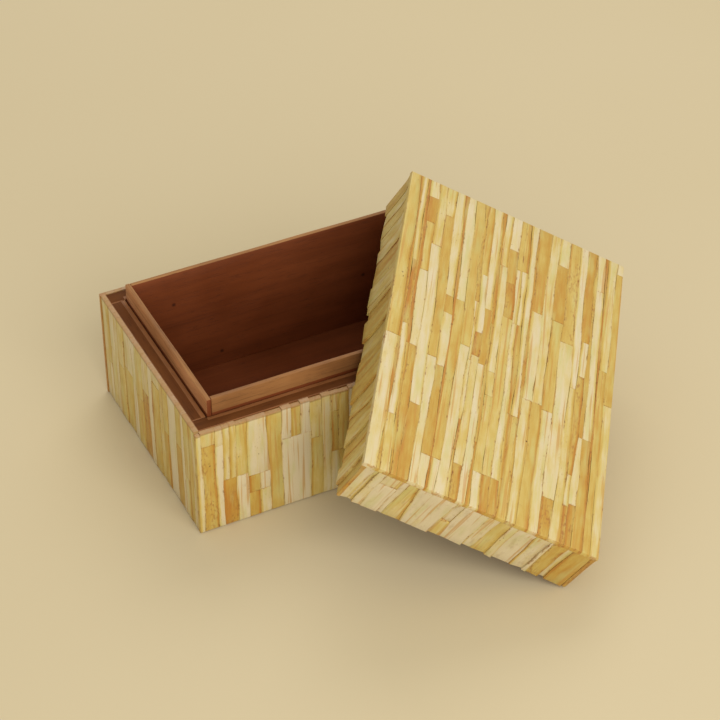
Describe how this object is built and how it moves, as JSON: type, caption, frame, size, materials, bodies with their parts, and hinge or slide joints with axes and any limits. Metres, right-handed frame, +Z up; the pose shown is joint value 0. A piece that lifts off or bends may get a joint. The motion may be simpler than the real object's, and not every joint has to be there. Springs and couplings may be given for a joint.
{
  "type": "inlaid wooden box",
  "caption": "Rectangular wooden box clad in narrow bone strips, with a thin raised liner lip and a loose lift-off lid that leans on the base.",
  "frame": {"origin": "centre of the base's underside, on the table", "axes": "+Z up; X along the base's long sides, left to right; -Y towards the front long side, where the lid leans"},
  "size_m": [0.2737, 0.2735, 0.1359],
  "materials": {
    "bone_strips": "satin",
    "carcass_wood": "satin",
    "liner_wood": "satin",
    "lid_wood": "satin"
  },
  "bodies": {
    "base": {"base_floor_board": "carcass_wood", "base_front_board": "carcass_wood", "base_back_board": "carcass_wood", "base_left_board": "carcass_wood", "base_right_board": "carcass_wood", "liner_front_board": "liner_wood", "liner_back_board": "liner_wood", "liner_left_board": "liner_wood", "liner_right_board": "liner_wood", "base_front_strips": "bone_strips", "base_back_strips": "bone_strips", "base_left_strips": "bone_strips", "base_right_strips": "bone_strips"},
    "lid": {"lid_top_board": "lid_wood", "lid_front_board": "lid_wood", "lid_back_board": "lid_wood", "lid_left_board": "lid_wood", "lid_right_board": "lid_wood", "lid_top_strips": "bone_strips", "lid_front_strips": "bone_strips", "lid_back_strips": "bone_strips", "lid_left_strips": "bone_strips", "lid_right_strips": "bone_strips"}
  },
  "joints": [
    {"name": "lid_lift", "type": "slide", "parent": "base", "child": "lid", "axis": [0, 0, 1], "range_m": [0, 0.1]}
  ]
}
